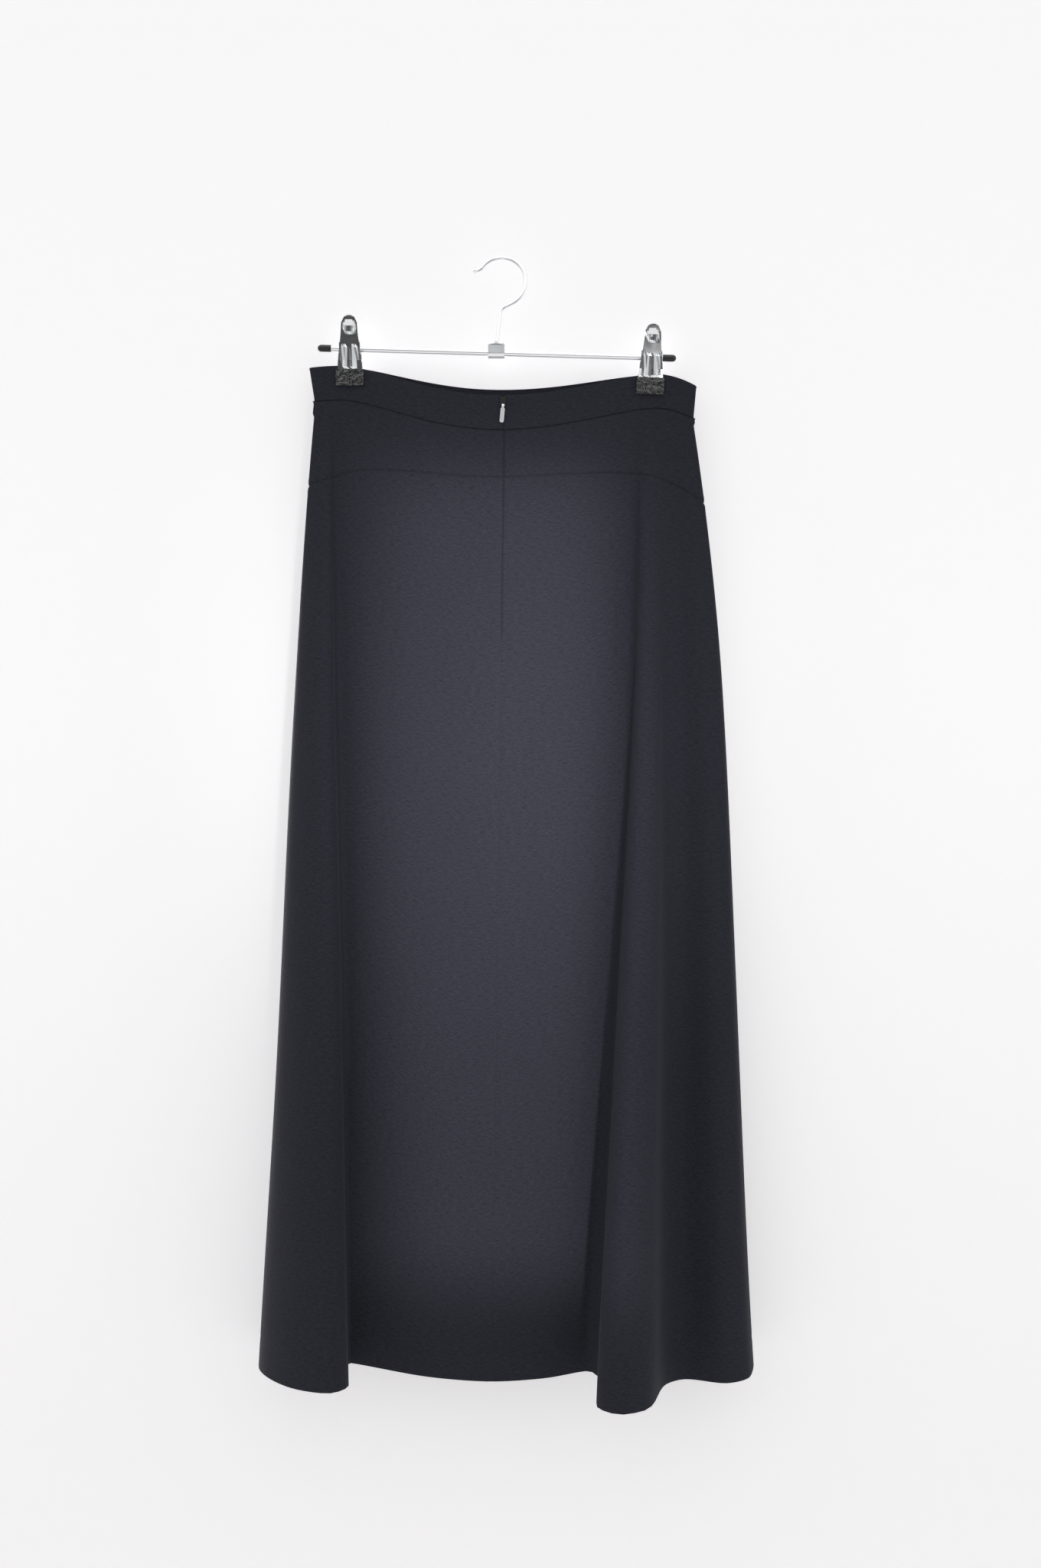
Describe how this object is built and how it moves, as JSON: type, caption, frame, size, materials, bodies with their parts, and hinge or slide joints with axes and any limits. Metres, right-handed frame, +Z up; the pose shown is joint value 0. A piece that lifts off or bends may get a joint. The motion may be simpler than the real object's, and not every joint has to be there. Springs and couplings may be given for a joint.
{
  "type": "a-line skirt on a clip hanger",
  "caption": "Long A-line skirt with a waistband, curved yoke and back zip, hung flat by its waistband from a clip hanger with a wire hook.",
  "frame": {"origin": "the inside top of the hook, where a rail holds it", "axes": "+Z up, -Y towards the zip side, X along the hanger's bar"},
  "size_m": [0.4797, 0.1422, 1.0923],
  "materials": {
    "cloth": "fine matt crepe",
    "tape": "woven tape",
    "slider": "black lacquer",
    "chrome": "polished",
    "cap": "soft black",
    "tip": "clear soft plastic"
  },
  "bodies": {
    "garment": {"waistband_front": "cloth", "waistband_back_left": "cloth", "waistband_back_right": "cloth", "yoke_front": "cloth", "yoke_back_left": "cloth", "yoke_back_right": "cloth", "skirt_front": "cloth", "skirt_back_left": "cloth", "skirt_back_right": "cloth", "zip_tape": "tape", "zip_slider": "slider", "hanger_bar": "chrome", "hanger_cap_left": "cap", "hanger_cap_right": "cap", "hanger_boss": "chrome", "hanger_collar": "chrome", "hanger_hook": "chrome", "clip_left_front_leaf": "chrome", "clip_left_back_leaf": "chrome", "clip_left_spring": "chrome", "clip_left_front_tip": "tip", "clip_left_back_tip": "tip", "clip_right_front_leaf": "chrome", "clip_right_back_leaf": "chrome", "clip_right_spring": "chrome", "clip_right_front_tip": "tip", "clip_right_back_tip": "tip"},
    "pull_tab": {"zip_pull_tab": "chrome"}
  },
  "joints": [
    {"name": "zip_pull_tab_hinge", "type": "hinge", "parent": "garment", "child": "pull_tab", "pos_m": [0.00337, -0.01396, -0.1448], "axis": [-1, 0, 0], "range_deg": [0, 165]}
  ]
}
